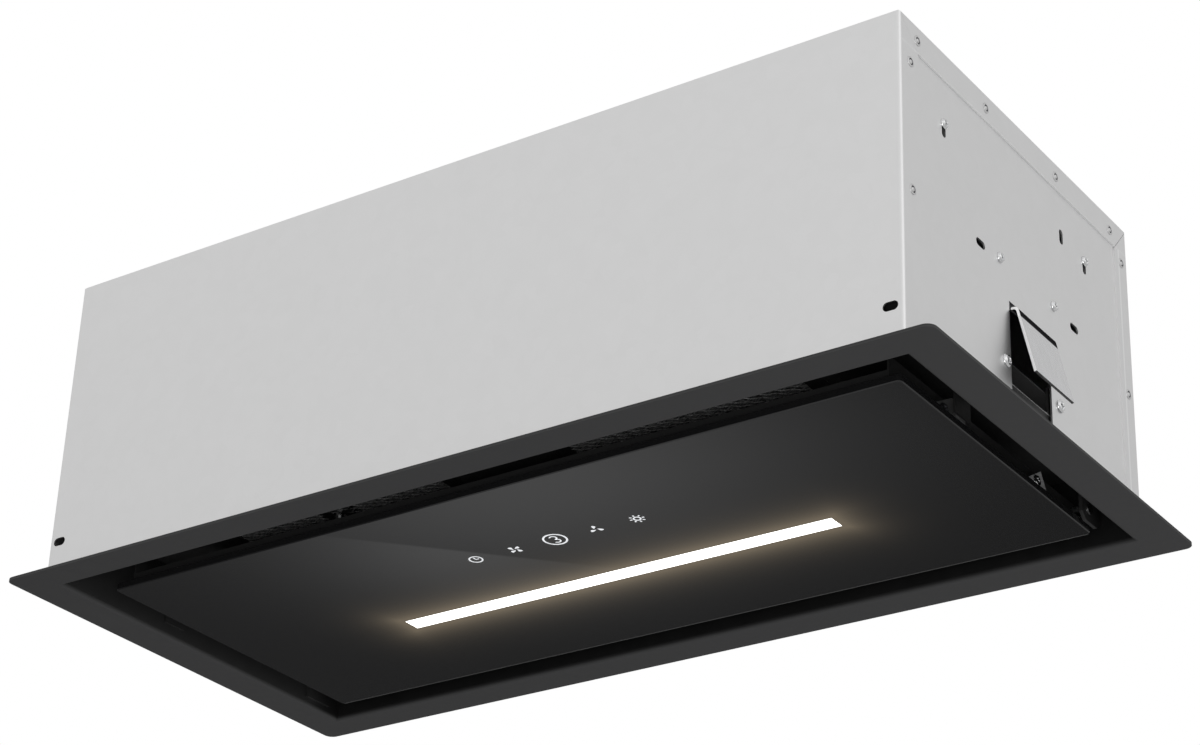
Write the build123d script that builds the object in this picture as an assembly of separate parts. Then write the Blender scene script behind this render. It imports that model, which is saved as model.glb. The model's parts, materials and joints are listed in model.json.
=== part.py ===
from build123d import *
import math
import os

# Built-in range hood for a 60 cm wall cabinet. All sizes are in millimetres.
# The origin is the centre of the flange's underside: +X right, +Y back, +Z up.
# The front, where the cook stands, is at -Y.

# How far a cutter reaches past a face, and a boss into the piece that carries it
past = 1.0
sink = 0.5

# Casing of folded galvanised sheet
casing_width = 557.0
casing_depth = 259.4
casing_top = 190.6
sheet = 1.0
casing_bend = 1.8
casing_bend_inside = 0.5
casing_top_bend = 0.8
front_fold = 19.0
top_fold = 16.5
back_fold = 16.0
front_mitre_slit = 0.1
back_mitre_slit = 0.4
plate_gap = 0.9

# Flange frame of black coated sheet; the casing stands in a shallow seat pressed into it
flange_side_lip = 20.5
flange_front_lip = 11.4
flange_back_lip = 21.6
flange_sheet = 1.5
flange_corner = 5.5
casing_seat = 0.3
casing_seat_gap = 0.3
collar_sheet = 1.2
collar_height = 48.0
collar_side_gap = 1.1
collar_front_gap = 8.4
collar_back_gap = 0.1
opening_bend = 2.5

# Small fasteners are heads with few sides, seated on the sheet
head_sides = 6
head_taper = 22.0
screw_head_r = 3.4
screw_head = 2.0

# Rivets that join the casing's folds to the end plates, from the casing's top, front and back
rivet_head_r = 2.9
rivet_head = 1.0
rivet_top_drop = 9.1
rivet_top_front = 18.3
rivet_top_back = 21.2
rivet_top_middle_y = (-43.4, 36.8)
rivet_front_inset = 10.7
rivet_front_drop = (25.9, 100.1)
rivet_back_inset = 7.8
rivet_back_drop = (24.0, 106.2)

# Slots of the end plates and of the front wall
fix_slot_length = 9.5
fix_slot_width = 4.5
fix_slot_centre_y = 0.9
fix_slot_spacing = 105.6
fix_slot_drop = 94.4
cable_slot_length = 9.0
cable_slot_width = 4.2
cable_slot_y = 42.6
cable_slot_drop = 43.6
front_slot_length = 8.5
front_slot_width = 5.0
front_slot_inset = 7.4
front_slot_z = 22.8

# Spring clips that hold the hood on the cabinet floor
window_front_y = -22.2
window_width = 45.0
window_top = 77.2
window_notch_drop = 16.0
window_notch_r = 5.0
clip_sheet = 1.4
clip_front_gap = 1.2
clip_back_gap = 1.8
clip_root_drop = 2.6
clip_bend_r = 1.6
clip_shoulder_r = 2.6
clip_split = 0.3
clip_reach = 0.6
clip_lean = 13.2
clip_tip_z = 34.0
clip_base_rise = 1.0
clip_base_margin = 8.0
clip_screw_front = 8.8
clip_screw_back = 6.6
clip_screw_rise = 21.0
clip_screw_edge = 8.2

# Large screws through the end plates into the collar, beside the clip windows
frame_screw_head_r = 4.1
frame_screw_front = 5.3
frame_screw_back = 9.1
frame_screw_drop = 7.8

# Glass panel, set from the flange's opening
glass_end_gap = 17.25
glass_front_gap = 23.65
glass_back_gap = 14.55
glass_bottom = 2.2
glass_thick = 4.0
glass_corner = 3.0
glass_edge = 0.5

# Panel carrier behind the glass
carrier_sheet = 1.0
carrier_side_inset = 8.95
carrier_front_inset = 5.0
carrier_back_inset = 4.75
carrier_side_height = 14.6
carrier_end_height = 6.6

# Light strip and touch symbols, set from the middle of the glass as the photo shows them
light_offset_x = 3.9
light_offset_y = 22.3
light_length = 287.0
light_width = 11.4
light_fit = 0.1
light_foot = 3.0
light_foot_thick = 1.5
housing_sheet = 1.2
housing_height = 14.0
housing_extra = 8.0
housing_foot = 6.0
board_thick = 1.6
led_count = 10
led_size = 3.0
led_height = 0.8
led_board_edge = 1.0
touch_offset_y = -35.0
touch_length = 150.0
touch_width = 24.0
touch_chip = 12.0
touch_chip_height = 1.4
touch_plug = 10.0
touch_plug_height = 6.0

# Panel hinges at the back
hinge_inset = 8.15
hinge_z = 13.0
hinge_pin_r = 3.0
hinge_fit = 0.05
pin_end = 0.5
arm_thick = 1.5
arm_length = 47.6
arm_height = 12.0
arm_corner = 2.5
gusset_thick = 1.2
gusset_corners = ((-60.1, -5.0), (-37.7, 8.9), (-29.1, -5.0))
gusset_screw_ahead = 44.0
gusset_screw_rise = 0.6
ear_gap = 8.5
ear_thick = 2.0
ear_front = 8.6
ear_back = 12.4
ear_below = 8.0
ear_above = 12.0
ear_corner = 4.0

# Panel catches near the front
catch_front_inset = 48.55
catch_length = 30.0
catch_lift = 0.8
catch_height = 15.5
catch_slope_y = 16.0
catch_slope_z = 9.0
catch_thick = 2.6
catch_screw_in = 6.5
catch_screw_rise = 4.9
nose_in = 21.0
nose_rise = 9.0
nose_half = 2.5
nose_reach = 2.0
nose_bevel = 1.6
striker_ahead = 9.0
striker_behind = 7.0
striker_sheet = 1.2
striker_gap = 3.0
striker_foot_z = 8.0
striker_lip_z = 12.0
striker_shelf_z = 25.0

# Filter level
tray_z = 30.0
tray_sheet = 1.0
tray_ledge = 7.5
tray_shelf_drop = 4.0
filter_bridge = 64.0
filter_width = 166.0
filter_depth = 190.0
filter_height = 8.0
filter_gap = 0.5
filter_sheet = 0.8
rail_width = 10.0
mesh_inset = 6.0
mesh_sheet = 0.9
mesh_wave = 11.3
mesh_gap = 0.3
tab_width = 14.0
tab_reach = 4.0
tab_offset = 55.0
tab_gap = 0.1

# Filter latches, set from the cassette's front edge
latch_offset_x = -3.6
latch_width = 10.0
latch_thick = 1.5
latch_lift = 0.4
latch_tongue = 4.5
latch_travel = 5.0
latch_knob_in = 25.0
latch_knob_r = 2.8
latch_knob_sides = 12
latch_knob_drop = 4.5
latch_pad_width = 20.0
latch_pad_in = 39.0
latch_fit = 0.3
latch_end_gap = 0.5

# Blower with a double inlet, its axis along X
fan_r = 56.0
fan_half = 68.0
fan_top_gap = 20.6
blade_depth = 9.0
blade_count = 18
blade_lead = 8.5
blade_bow = 0.45
blade_angle_thick = 1.2
fan_ring = 2.0
fan_ring_over = 0.8
fan_disc = 1.5
fan_disc_over = 0.5
hub_r = 10.0
hub_length = 14.0
scroll_end_gap = 4.0
scroll_wall = 2.0
scroll_room = 20.0
scroll_square = 6.3
tongue_angle = 145.0
tongue_rise = 45.0
scroll_rim = 12.0
scroll_rim_thick = 3.0
scroll_screw_out = 5.5
shaft_r = 4.0
shaft_fit = 0.05
shaft_over = 3.0
shaft_depth_gap = 10.0
shaft_end_gap = 0.5
motor_gap = 10.0
motor_start = 6.0
motor_end_gap = 6.0
motor_neck_r = 15.0
mount_out = 13.0
mount_r = 5.5
mount_height = 6.0
mount_angles = (90, 210, 330)
spider_sheet = 2.0
spider_arm = 14.0
spider_hub = 8.0

# Outlet for a 150 mm duct
outlet_r = 74.75
outlet_wall = 2.25
outlet_height = 32.0
outlet_base = 11.25
outlet_base_thick = 3.0
stop_rise = 8.8
stop_width = 8.0
stop_reach = 3.0
flap_gap = 0.9
flap_thick = 1.2
flap_lift = 0.3
flap_start_y = 3.4
flap_barrel_r = 2.4
flap_knuckle_x = 2.0
flap_knuckle = 50.0
spindle_r = 1.5
spindle_fit = 0.05

# Controls and light driver on the end plates, set from the casing's front, back and top
bracket_screw_front = 46.1
bracket_screw_back = 54.5
bracket_screw_drop = (43.1, 45.4)
keyhole_width = 4.0
keyhole_low = 7.8
keyhole_corner = 1.2
bracket_ear = 18.0
bracket_drop = 32.6
bracket_height = 26.0
bracket_stand = 14.0
box_front = 22.7
box_back = 16.9
box_drop = 18.6
box_height = 56.0
box_reach = 34.0
box_wall = 2.0
box_corner = 3.0
lid_thick = 2.0
control_board_gap = 1.0
control_board_stand = 4.0
relay_count = 4
relay_length = 12.0
relay_width = 18.0
relay_height = 15.0
relay_end = 8.0
relay_edge = 4.0
plug_row_width = 9.0
plug_row_height = 10.0
plug_row_end = 6.0
plug_row_edge = 5.0
driver_front = 28.7
driver_back = 26.9
driver_drop = 24.6
driver_height = 40.0
driver_reach = 28.0
driver_edge = 2.0

# Gland of the mains cable, set from the casing's right-hand end and back
gland_end = 53.5
gland_back = 39.6
gland_r = 9.0
gland_bore_r = 4.0
gland_height = 12.0

# Casing, flange and opening, worked out from the sizes above
flange_depth = casing_depth + flange_front_lip + flange_back_lip
half = casing_width / 2
front_y = -flange_depth / 2 + flange_front_lip
back_y = front_y + casing_depth
flange_half = half + flange_side_lip
casing_low = flange_sheet - casing_seat
plate_out = half - sheet
plate_in = plate_out - sheet
inner_front = front_y + sheet
inner_back = back_y - sheet
top_in = casing_top - sheet
collar_out = plate_in - collar_side_gap
open_half = collar_out - collar_sheet
open_front = inner_front + collar_front_gap + collar_sheet
open_back = inner_back - collar_back_gap - collar_sheet

# Clip windows and the screws round them
window_back_y = window_front_y + window_width
clip_front_y = window_front_y + clip_front_gap
clip_back_y = window_back_y - clip_back_gap
clip_screw_y = (window_front_y - clip_screw_front, window_back_y + clip_screw_back)
clip_screw_z = window_top + clip_screw_rise
frame_screw_y = (window_front_y - frame_screw_front, window_back_y + frame_screw_back)
frame_screw_z = collar_height - frame_screw_drop
bracket_screw_y = (front_y + bracket_screw_front, back_y - bracket_screw_back)
bracket_screw_z = (casing_top - bracket_screw_drop[0], casing_top - bracket_screw_drop[1])

# Panel, hinge line and catch
glass_half = open_half - glass_end_gap
glass_front = open_front + glass_front_gap
glass_back = open_back - glass_back_gap
glass_centre_y = (glass_front + glass_back) / 2
glass_top = glass_bottom + glass_thick
carrier_half = glass_half - carrier_side_inset
carrier_front = glass_front + carrier_front_inset
carrier_back = glass_back - carrier_back_inset
carrier_floor = glass_top + carrier_sheet
light_centre_y = glass_centre_y + light_offset_y
touch_centre_y = glass_centre_y + touch_offset_y
hinge_y = glass_back - hinge_inset
hinge_arm_out = carrier_half + arm_thick
catch_front_y = glass_front + catch_front_inset
catch_low = glass_top + catch_lift
nose_y = catch_front_y + nose_in
nose_z = catch_low + nose_rise

# Filters
tray_shelf_z = collar_height - tray_shelf_drop
filter_centre_x = (filter_bridge + filter_width) / 2
filter_end_y = -filter_depth / 2
tray_step_x = filter_centre_x + filter_width / 2 + filter_gap + tray_ledge
latch_x = latch_offset_x - filter_centre_x
latch_low = tray_z + tray_sheet + latch_lift
latch_knob_y = filter_end_y + latch_knob_in
latch_pad_back_y = filter_end_y + latch_pad_in
latch_inner_y = latch_pad_back_y - latch_travel - latch_end_gap

# Blower and outlet
fan_inner_r = fan_r - blade_depth
fan_z = top_in - fan_top_gap - fan_r
fan_line = Pos(0, 0, fan_z)
inlet_r = fan_inner_r
motor_r = fan_inner_r - motor_gap
motor_end = fan_half - motor_end_gap
scroll_inner_half = fan_half + scroll_end_gap
scroll_out = scroll_inner_half + scroll_wall
outlet_half = fan_r + scroll_room
scroll_side = outlet_half + scroll_wall
scroll_screw_at = outlet_half + scroll_screw_out
mount_circle_r = inlet_r + mount_out
spider_x = scroll_out + mount_height
outlet_bore_r = outlet_r - outlet_wall
outlet_base_r = outlet_r + outlet_base
stop_z = casing_top + stop_rise
flap_z = stop_z + flap_lift + flap_thick / 2
gland_x = half - gland_end
gland_y = back_y - gland_back

# Controls and light driver
bracket_web_x = plate_in - bracket_stand
bracket_low_z = casing_top - bracket_drop - bracket_height
bracket_high_z = casing_top - bracket_drop
box_front_y = bracket_screw_y[0] + box_front
box_back_y = bracket_screw_y[1] - box_back
box_low_z = casing_top - box_drop - box_height
box_high_z = casing_top - box_drop
driver_front_y = bracket_screw_y[0] + driver_front
driver_back_y = bracket_screw_y[1] - driver_back
driver_low_z = casing_top - driver_drop - driver_height
driver_high_z = casing_top - driver_drop


# Small helpers

def block(x0, x1, y0, y1, z0, z1):
    """A box between two opposite corners."""
    middle = Pos((x0 + x1) / 2, (y0 + y1) / 2, (z0 + z1) / 2)
    return middle * Box(x1 - x0, y1 - y0, z1 - z0)


def slab(x, y, half_x, half_y, z0, z1):
    """A box about the upright line through (x, y)."""
    return block(x - half_x, x + half_x, y - half_y, y + half_y, z0, z1)


def rod_x(radius, x0, x1, y, z):
    """A round bar along X."""
    return Pos((x0 + x1) / 2, y, z) * Rot(0, 90, 0) * Cylinder(radius, x1 - x0)


def rod_y(radius, y0, y1, x, z):
    """A round bar along Y."""
    return Pos(x, (y0 + y1) / 2, z) * Rot(90, 0, 0) * Cylinder(radius, y1 - y0)


def rod_z(radius, z0, z1, x, y):
    """A round bar along Z."""
    return Pos(x, y, (z0 + z1) / 2) * Cylinder(radius, z1 - z0)


def slot_x(length, width, y, z, x0, x1, turn=0):
    """A round-ended slot cutter through an end plate."""
    plane = Plane(origin=(x0, y, z), x_dir=(0, 1, 0), z_dir=(1, 0, 0))
    return extrude(plane * SlotOverall(length, width, rotation=turn), amount=x1 - x0)


def drawn_x(outline, x0, x1):
    """An outline in (y, z), drawn out along X."""
    face = make_face(Plane.YZ * Curve(outline))
    return Pos(x0, 0, 0) * extrude(face, amount=x1 - x0, dir=(1, 0, 0))


def drawn_y(outline, y0, y1):
    """An outline in (x, z), drawn out along Y."""
    face = make_face(Plane.XZ * Curve(outline))
    return Pos(0, y0, 0) * extrude(face, amount=y1 - y0, dir=(0, 1, 0))


def profile_x(points, x0, x1):
    """A closed outline of (y, z) corners, drawn out along X."""
    return drawn_x([Polyline(*points, close=True)], x0, x1)


def flip(shape):
    """The same piece on the left-hand end."""
    return mirror(shape, about=Plane.YZ)


def both_ends(shape):
    """A piece and its mirror image, as separate solids."""
    return Compound(children=[Compound(shape.solids()), Compound(flip(shape).solids())])


def head_x(radius, height, x, y, z):
    """A low tapered head that sits on the plane x and looks along +X."""
    plane = Plane(origin=(x, y, z), x_dir=(0, 1, 0), z_dir=(1, 0, 0))
    return extrude(plane * RegularPolygon(radius, head_sides), amount=height, taper=head_taper)


def screw_x(x, y, z, radius=screw_head_r):
    """A pan-head screw seen from outside, seated on the plane x."""
    return head_x(radius, screw_head, x, y, z)


def sum_of(shapes):
    """Several separate solids as one shape."""
    return Compound(children=[s.solid() for s in shapes])


def all_rivet_places():
    """The (y, z) places of the rivets on one end."""
    top_y = (front_y + rivet_top_front, *rivet_top_middle_y, back_y - rivet_top_back)
    top = [(y, casing_top - rivet_top_drop) for y in top_y]
    front = [(front_y + rivet_front_inset, casing_top - drop) for drop in rivet_front_drop]
    back = [(back_y - rivet_back_inset, casing_top - drop) for drop in rivet_back_drop]
    return top + front + back


# Casing

def make_mitre_slit(inner_y, outer_y, slit):
    """The slanting slit between two folds at an upper corner of the right-hand end."""
    inner_z = casing_top - top_fold - past
    outer_z = casing_top - casing_bend
    low_inner_z = inner_z - slit
    low_outer_z = outer_z - slit
    corners = ((inner_y, inner_z), (outer_y, outer_z), (outer_y, low_outer_z), (inner_y, low_inner_z))
    return profile_x(corners, plate_out - sink, half + past)


def make_casing_wrap():
    """One folded sheet: front, top and back walls with folds over both ends."""
    outer = block(-half, half, front_y, back_y, casing_low, casing_top)
    outer = fillet(outer.edges().filter_by(Axis.Z), casing_bend)
    outer = chamfer(outer.faces().sort_by(Axis.Z)[-1].edges(), casing_top_bend)
    inner = block(-plate_out, plate_out, inner_front, inner_back, casing_low - past, top_in)
    inner = chamfer(inner.edges().filter_by(Axis.Z), casing_bend_inside)
    fold_front = front_y + front_fold
    fold_back = back_y - back_fold
    fold_low = casing_top - top_fold
    end_opening = block(-half - past, half + past, fold_front, fold_back, casing_low - past, fold_low)
    wrap = outer - inner - end_opening
    front_slit = make_mitre_slit(fold_front, front_y + casing_bend, front_mitre_slit)
    back_slit = make_mitre_slit(fold_back, back_y - casing_bend, back_mitre_slit)
    for slit in (front_slit, back_slit):
        wrap -= slit
        wrap -= flip(slit)
    for side in (-1, 1):
        place = (side * (half - front_slot_inset), front_y - past, front_slot_z)
        plane = Plane(origin=place, x_dir=(1, 0, 0), z_dir=(0, 1, 0))
        wrap -= extrude(plane * SlotOverall(front_slot_length, front_slot_width), amount=sheet + 2 * past)
    wrap -= rod_z(outlet_bore_r, top_in - past, casing_top + past, 0, 0)
    return wrap - rod_z(gland_bore_r, top_in - past, casing_top + past, gland_x, gland_y)


def make_end_plate():
    """Right-hand end plate with its clip window and slots."""
    y0 = inner_front + plate_gap
    y1 = inner_back - plate_gap
    plate = block(plate_in, plate_out, y0, y1, casing_low, top_in - plate_gap)
    x0 = plate_in - past
    x1 = plate_out + past
    plate -= block(x0, x1, window_front_y, window_back_y, casing_low - past, window_top)
    for y in (fix_slot_centre_y - fix_slot_spacing / 2, fix_slot_centre_y + fix_slot_spacing / 2):
        plate -= slot_x(fix_slot_length, fix_slot_width, y, casing_top - fix_slot_drop, x0, x1)
    cable_z = casing_top - cable_slot_drop
    plate -= slot_x(cable_slot_length, cable_slot_width, cable_slot_y, cable_z, x0, x1, turn=90)
    for y, z in zip(bracket_screw_y, bracket_screw_z):
        plate -= make_keyhole(y, z)
    return plate


def make_keyhole(y, z):
    """Cutter for the slot below a bracket screw, through the end plate and the bracket's ear."""
    x0 = plate_in - sheet - past
    key = block(x0, plate_out + past, y - keyhole_width / 2, y + keyhole_width / 2, z - keyhole_low, z)
    return chamfer(key.edges().filter_by(Axis.X).sort_by(Axis.Z)[:2], keyhole_corner)


def make_casing_rivets():
    """Heads of the blind rivets, eight on each end."""
    return both_ends(sum_of(head_x(rivet_head_r, rivet_head, half, y, z) for y, z in all_rivet_places()))


# Flange frame

def opening_prism(z0, z1, grow=0.0):
    """The flange's opening as a solid, grown outwards on every side."""
    return block(-open_half - grow, open_half + grow, open_front - grow, open_back + grow, z0, z1)


def make_flange_frame():
    """Flat flange with the casing's seat, its inner edge folded up into a collar."""
    flange = extrude(RectangleRounded(2 * flange_half, flange_depth, flange_corner), amount=flange_sheet)
    seat_x = half + casing_seat_gap
    seat_front = front_y - casing_seat_gap
    seat_back = back_y + casing_seat_gap
    flange -= block(-seat_x, seat_x, seat_front, seat_back, casing_low, flange_sheet + past)
    collar = opening_prism(0, collar_height, collar_sheet)
    frame = flange + collar - opening_prism(-past, collar_height + past)
    inner_edges = frame.faces().sort_by(Axis.Z)[0].inner_wires()[0].edges()
    frame = fillet(inner_edges, opening_bend)
    notch_z = collar_height - window_notch_drop
    x0 = open_half - past
    x1 = collar_out + past
    notch = block(x0, x1, window_front_y, window_back_y, notch_z, collar_height + past)
    notch = fillet(notch.edges().filter_by(Axis.X).sort_by(Axis.Z)[:2], window_notch_r)
    return frame - notch - flip(notch)


def make_frame_screws():
    """Large pan-head screws that hold the collar to the end plates."""
    places = [(y, frame_screw_z) for y in frame_screw_y]
    return both_ends(sum_of(screw_x(plate_out, y, z, frame_screw_head_r) for y, z in places))


# Spring clips

def make_clip_base():
    """Foot of the right-hand clip, screwed to the inside of the end plate."""
    y0 = clip_screw_y[0] - clip_base_margin
    y1 = clip_screw_y[1] + clip_base_margin
    low = window_top + clip_base_rise
    base = block(plate_in - clip_sheet, plate_in, y0, y1, low, clip_screw_z + clip_screw_edge)
    bend_x = plate_in - clip_sheet / 2 + clip_bend_r
    bend_z = window_top - clip_root_drop
    outer_r = clip_bend_r + clip_sheet / 2
    inner_r = clip_bend_r - clip_sheet / 2
    root = block(plate_in - clip_sheet, plate_in, clip_front_y, clip_back_y, bend_z, low + sink)
    bend = rod_y(outer_r, clip_front_y, clip_back_y, bend_x, bend_z)
    bend -= rod_y(inner_r, clip_front_y - past, clip_back_y + past, bend_x, bend_z)
    x0 = bend_x - outer_r - past
    quarter = block(x0, bend_x, clip_front_y - past, clip_back_y + past, bend_z - outer_r - past, bend_z)
    return base + root + (bend & quarter)


def clip_pivot():
    """The line, as (x, z), about which the right-hand leaf gives way."""
    bend_x = plate_in - clip_sheet / 2 + clip_bend_r
    return bend_x + clip_split + clip_sheet / 2, window_top - clip_root_drop - clip_bend_r


def make_clip_leaf():
    """Sprung leaf of the right-hand clip: a shoulder and a straight leaning leaf."""
    pivot_x, pivot_z = clip_pivot()
    t = clip_sheet / 2
    lean = math.radians(clip_lean)
    shoulder_x = pivot_x + clip_reach
    centre_z = pivot_z - clip_shoulder_r
    turn_x = shoulder_x + clip_shoulder_r * math.cos(lean)
    turn_z = centre_z + clip_shoulder_r * math.sin(lean)
    drop = turn_z - clip_tip_z
    tip_x = turn_x + drop * math.tan(lean)
    mid_angle = math.radians(90 - (90 - clip_lean) / 2)

    def on_shoulder(radius, angle):
        return (shoulder_x + radius * math.cos(angle), centre_z + radius * math.sin(angle))

    nx = math.cos(lean) * t
    nz = math.sin(lean) * t
    r_out = clip_shoulder_r + t
    r_in = clip_shoulder_r - t
    outline = [
        ThreePointArc((pivot_x, pivot_z - t), (pivot_x - t, pivot_z), (pivot_x, pivot_z + t)),
        Line((pivot_x, pivot_z + t), (shoulder_x, pivot_z + t)),
        ThreePointArc((shoulder_x, pivot_z + t), on_shoulder(r_out, mid_angle), on_shoulder(r_out, lean)),
        Line(on_shoulder(r_out, lean), (tip_x + nx, clip_tip_z + nz)),
        Line((tip_x + nx, clip_tip_z + nz), (tip_x - nx, clip_tip_z - nz)),
        Line((tip_x - nx, clip_tip_z - nz), on_shoulder(r_in, lean)),
        ThreePointArc(on_shoulder(r_in, lean), on_shoulder(r_in, mid_angle), (shoulder_x, pivot_z - t)),
        Line((shoulder_x, pivot_z - t), (pivot_x, pivot_z - t)),
    ]
    return drawn_y(outline, clip_front_y, clip_back_y)


def make_clip_screws():
    """Screws of the clip feet."""
    return both_ends(sum_of(screw_x(plate_out, y, clip_screw_z) for y in clip_screw_y))


# Filter level

def make_filter_tray():
    """Black tray that closes the collar above the panel and holds both filters."""
    z0 = tray_z
    z1 = tray_z + tray_sheet
    shelf_top = tray_shelf_z + tray_sheet
    step_in = tray_step_x - tray_sheet
    low = block(-tray_step_x, tray_step_x, open_front, open_back, z0, z1)
    riser = block(step_in, tray_step_x, open_front, open_back, z0, shelf_top)
    shelf = block(step_in, open_half, open_front, open_back, tray_shelf_z, shelf_top)
    tray = low + riser + flip(riser) + shelf + flip(shelf)
    hx = filter_width / 2 + filter_gap
    hy = filter_depth / 2 + filter_gap
    window = slab(filter_centre_x, 0, hx, hy, z0 - past, z1 + past)
    return tray - window - flip(window)


def make_filter_frame():
    """Left-hand cassette: a channel frame with hooks at the back and a latch seat."""
    x = -filter_centre_x
    hx = filter_width / 2
    hy = filter_depth / 2
    z0 = tray_z
    z1 = tray_z + filter_height
    floor = z0 + filter_sheet
    frame = slab(x, 0, hx, hy, z0, z1)
    frame -= slab(x, 0, hx - filter_sheet, hy - filter_sheet, floor, z1 - filter_sheet)
    frame -= slab(x, 0, hx - rail_width, hy - rail_width, z0 - past, z1 + past)
    pad_half = latch_pad_width / 2
    pad_front = filter_end_y + filter_sheet
    frame += block(latch_x - pad_half, latch_x + pad_half, pad_front, latch_pad_back_y, z0, floor)
    bar_half = latch_width / 2 + latch_fit
    bar_top = latch_low + latch_thick + latch_fit
    frame -= block(latch_x - bar_half, latch_x + bar_half, filter_end_y - past, pad_front, floor, bar_top)
    knob_half = latch_knob_r + latch_fit
    slot_y = latch_knob_y + latch_travel / 2
    frame -= slab(latch_x, slot_y, knob_half, knob_half + latch_travel / 2, z0 - past, floor + past)
    tab_low = tray_z + tray_sheet + tab_gap
    tab = slab(x, hy + (tab_reach - filter_sheet) / 2, tab_width / 2, (tab_reach + filter_sheet) / 2,
               tab_low, tab_low + filter_sheet)
    return frame + Pos(-tab_offset, 0, 0) * tab + Pos(tab_offset, 0, 0) * tab


def make_filter_mesh():
    """Crimped mesh pad of the left-hand cassette, held in the frame's channel."""
    x = -filter_centre_x
    hx = filter_width / 2 - rail_width + mesh_inset
    hy = filter_depth / 2 - rail_width + mesh_inset
    low = tray_z + filter_sheet + mesh_gap
    high = tray_z + filter_height - filter_sheet - mesh_gap
    waves = round(2 * hx / mesh_wave)
    step = hx / waves
    tops = []
    for i in range(2 * waves + 1):
        tops.append((x - hx + i * step, high if i % 2 else low + mesh_sheet))
    bottoms = [(px, pz - mesh_sheet) for px, pz in reversed(tops)]
    pad = drawn_y([Polyline(*tops, *bottoms, close=True)], -hy, hy)
    notch = latch_pad_width / 2 + mesh_gap
    notch_back = latch_pad_back_y + mesh_gap
    return pad - block(latch_x - notch, latch_x + notch, -hy - past, notch_back, low - past, high + past)


def make_filter_latch():
    """Left-hand latch: a flat bar over the tray's edge, with a round knob below."""
    tip_y = filter_end_y - filter_gap - latch_tongue
    x0 = latch_x - latch_width / 2
    bar = block(x0, x0 + latch_width, tip_y, latch_inner_y, latch_low, latch_low + latch_thick)
    knob_low = tray_z - latch_knob_drop
    outline = Pos(latch_x, latch_knob_y, knob_low) * RegularPolygon(latch_knob_r, latch_knob_sides)
    return bar + extrude(outline, amount=latch_low + sink - knob_low)


def turned(shape):
    """A left-hand filter piece turned end for end and set in the right-hand window."""
    return Rot(0, 0, 180) * shape


# Glass panel and what it carries

def make_glass_panel():
    """Black glass sheet with a window for the light bar."""
    outline = RectangleRounded(2 * glass_half, glass_back - glass_front, glass_corner)
    glass = extrude(Pos(0, glass_centre_y, glass_bottom) * outline, amount=glass_thick)
    glass = chamfer(glass.faces().sort_by(Axis.Z)[0].outer_wire().edges(), glass_edge)
    hx = light_length / 2 + light_fit
    hy = light_width / 2 + light_fit
    return glass - slab(light_offset_x, light_centre_y, hx, hy, glass_bottom - past, glass_top + past)


def make_panel_carrier():
    """Folded tray glued to the back of the glass."""
    side_top = glass_top + carrier_side_height
    end_top = glass_top + carrier_end_height
    side_in = carrier_half - carrier_sheet
    front_in = carrier_front + carrier_sheet
    back_in = carrier_back - carrier_sheet
    floor = block(-carrier_half, carrier_half, carrier_front, carrier_back, glass_top, carrier_floor)
    side = block(side_in, carrier_half, carrier_front, carrier_back, glass_top, side_top)
    front = block(-carrier_half, carrier_half, carrier_front, front_in, glass_top, end_top)
    back = block(-carrier_half, carrier_half, back_in, carrier_back, glass_top, end_top)
    carrier = floor + side + flip(side) + front + back
    z0 = glass_top - past
    z1 = carrier_floor + past
    hx = light_length / 2 + light_foot + light_fit
    hy = light_width / 2 + light_foot + light_fit
    carrier -= slab(light_offset_x, light_centre_y, hx, hy, z0, z1)
    hx = touch_length / 2 + light_fit
    hy = touch_width / 2 + light_fit
    return carrier - slab(light_offset_x, touch_centre_y, hx, hy, z0, z1)


def make_light_diffuser():
    """Opal bar, flush with the glass, with a wider foot behind it."""
    x = light_offset_x
    y = light_centre_y
    hx = light_length / 2
    hy = light_width / 2
    bar = slab(x, y, hx, hy, glass_bottom, glass_top)
    return bar + slab(x, y, hx + light_foot, hy + light_foot, glass_top, glass_top + light_foot_thick)


def make_light_housing():
    """Aluminium channel over the diffuser."""
    hx = light_length / 2 + housing_extra
    hy = light_width / 2 + light_foot + housing_sheet + light_fit
    x = light_offset_x
    y = light_centre_y
    z0 = carrier_floor
    roof = z0 + housing_height - housing_sheet
    outer = slab(x, y, hx, hy, z0, z0 + housing_height)
    feet = slab(x, y, hx, hy + housing_foot, z0, z0 + housing_sheet)
    return outer + feet - slab(x, y, hx + past, hy - housing_sheet, z0 - past, roof)


def make_light_board():
    """Narrow board under the housing's roof with a row of light chips."""
    roof = carrier_floor + housing_height - housing_sheet
    hx = light_length / 2
    hy = light_width / 2 + led_board_edge
    face = roof - board_thick
    board = slab(light_offset_x, light_centre_y, hx, hy, face, roof)
    pitch = light_length / led_count
    for i in range(led_count):
        x = light_offset_x - hx + (i + 0.5) * pitch
        board += slab(x, light_centre_y, led_size / 2, led_size / 2, face - led_height, face)
    return board


def make_touch_board():
    """Sensor board behind the row of symbols."""
    top = glass_top + board_thick
    board = slab(light_offset_x, touch_centre_y, touch_length / 2, touch_width / 2, glass_top, top)
    chip = slab(light_offset_x, touch_centre_y, touch_chip / 2, touch_chip / 4, top, top + touch_chip_height)
    plug_x = light_offset_x + touch_length / 2 - touch_plug
    plug = slab(plug_x, touch_centre_y, touch_plug / 2, touch_plug / 2, top, top + touch_plug_height)
    return board + chip + plug


# Hinges and catches

def make_hinge_arm():
    """Right-hand hinge arm, a flat bar on the carrier's side wall."""
    low = hinge_z - arm_height / 2
    end_y = hinge_y + arm_height / 2
    arm = block(carrier_half, hinge_arm_out, hinge_y - arm_length, end_y, low, low + arm_height)
    return chamfer(arm.edges().filter_by(Axis.X), arm_corner)


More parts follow.
